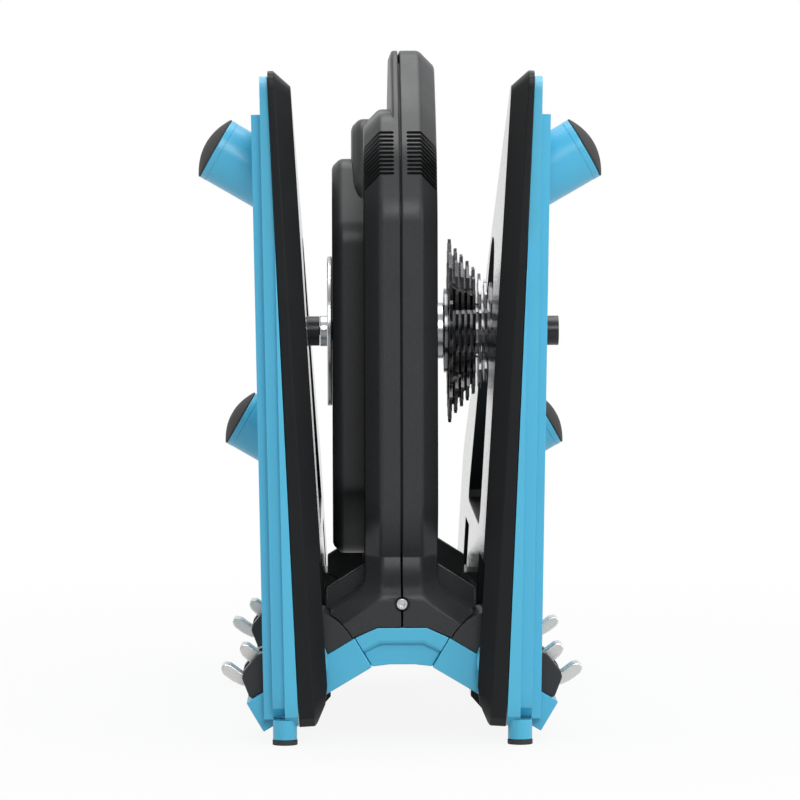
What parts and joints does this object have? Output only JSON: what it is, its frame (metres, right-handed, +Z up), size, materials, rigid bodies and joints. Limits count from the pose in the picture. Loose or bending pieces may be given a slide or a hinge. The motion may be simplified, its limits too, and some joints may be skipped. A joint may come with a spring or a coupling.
{
  "type": "direct drive bike trainer",
  "caption": "Folded indoor bike trainer: slim motor housing on a low frame, hinged leg panels at both sides and a cassette on its axle.",
  "frame": {"origin": "centre of the folded trainer's footprint, on the surface it stands on", "axes": "+Z up, +Y to the bike's front, +X to the drive side"},
  "size_m": [0.2486, 0.575, 0.423],
  "materials": {
    "blue_paint": "satin powder coat",
    "black_plastic": "fine grained moulding",
    "cover_plastic": "fine grained moulding",
    "gloss_plastic": "gloss",
    "black_steel": "black oxide",
    "rubber": "matt",
    "steel": "satin",
    "cog_steel": "dark oiled",
    "cog_chrome": "bright nickel",
    "lever_metal": "satin die casting",
    "copper": "enamelled winding",
    "board": "solder mask"
  },
  "bodies": {
    "root": {"base_frame": "blue_paint", "left_housing": "black_plastic", "right_housing": "black_plastic", "rear_cover_screw": "steel", "front_cover_screw": "steel", "power_inlet": "gloss_plastic", "control_board": "board", "axle": "black_steel", "skewer": "black_steel", "skewer_nut": "black_steel", "left_hub_disc": "steel", "inner_bearing": "steel", "outer_bearing": "steel", "stator": "copper", "left_rear_arm": "blue_paint", "left_rear_arm_cover": "black_plastic", "left_rear_hinge_pin": "steel", "left_rear_latch_block": "black_plastic", "left_front_arm": "blue_paint", "left_front_arm_cover": "black_plastic", "left_front_hinge_pin": "steel", "left_front_latch_block": "black_plastic", "right_rear_arm": "blue_paint", "right_rear_arm_cover": "black_plastic", "right_rear_hinge_pin": "steel", "right_rear_latch_block": "black_plastic", "right_front_arm": "blue_paint", "right_front_arm_cover": "black_plastic", "right_front_hinge_pin": "steel", "right_front_latch_block": "black_plastic"},
    "left_leg": {"left_leg_frame": "blue_paint", "left_leg_cover": "cover_plastic", "left_rear_foot_pad": "rubber", "left_front_foot_pad": "rubber", "left_rear_stand_pad": "rubber", "left_front_stand_pad": "rubber"},
    "right_leg": {"right_leg_frame": "blue_paint", "right_leg_cover": "cover_plastic", "right_rear_foot_pad": "rubber", "right_front_foot_pad": "rubber", "right_rear_stand_pad": "rubber", "right_front_stand_pad": "rubber"},
    "cassette": {"freehub_body": "cog_chrome", "cassette_carrier_cogs": "cog_steel", "cog_17_teeth": "cog_chrome", "cog_15_teeth": "cog_chrome", "cog_14_teeth": "cog_chrome", "cog_13_teeth": "cog_chrome", "cog_12_teeth": "cog_chrome", "cog_11_teeth": "cog_chrome", "cassette_lockring": "cog_chrome"},
    "rotor": {"rotor_drum": "steel", "magnet_ring": "black_steel"},
    "left_rear_latch": {"left_rear_latch_lever": "lever_metal"},
    "left_front_latch": {"left_front_latch_lever": "lever_metal"},
    "right_rear_latch": {"right_rear_latch_lever": "lever_metal"},
    "right_front_latch": {"right_front_latch_lever": "lever_metal"}
  },
  "joints": [
    {"name": "left_leg_fold", "type": "hinge", "parent": "root", "child": "left_leg", "pos_m": [-0.058, 0, 0.049], "axis": [0, -1, 0], "range_deg": [0, 120]},
    {"name": "right_leg_fold", "type": "hinge", "parent": "root", "child": "right_leg", "pos_m": [0.058, 0, 0.049], "axis": [0, 1, 0], "range_deg": [0, 120]},
    {"name": "cassette_spin", "type": "hinge", "parent": "root", "child": "cassette", "pos_m": [0.055, -0.0875, 0.245], "axis": [1, 0, 0], "continuous": true},
    {"name": "rotor_spin", "type": "hinge", "parent": "root", "child": "rotor", "pos_m": [-0.02, -0.0875, 0.245], "axis": [1, 0, 0], "continuous": true},
    {"name": "left_rear_latch_pull", "type": "hinge", "parent": "root", "child": "left_rear_latch", "pos_m": [-0.082, -0.2355, 0.044], "axis": [0, 1, 0], "range_deg": [0, 15]},
    {"name": "left_front_latch_pull", "type": "hinge", "parent": "root", "child": "left_front_latch", "pos_m": [-0.082, 0.0845, 0.044], "axis": [0, 1, 0], "range_deg": [0, 15]},
    {"name": "right_rear_latch_pull", "type": "hinge", "parent": "root", "child": "right_rear_latch", "pos_m": [0.082, -0.2355, 0.044], "axis": [0, -1, 0], "range_deg": [0, 15]},
    {"name": "right_front_latch_pull", "type": "hinge", "parent": "root", "child": "right_front_latch", "pos_m": [0.082, 0.0845, 0.044], "axis": [0, -1, 0], "range_deg": [0, 15]}
  ],
  "couplings": [
    {"joint": "rotor_spin", "follows": "cassette_spin", "ratio": 1}
  ]
}
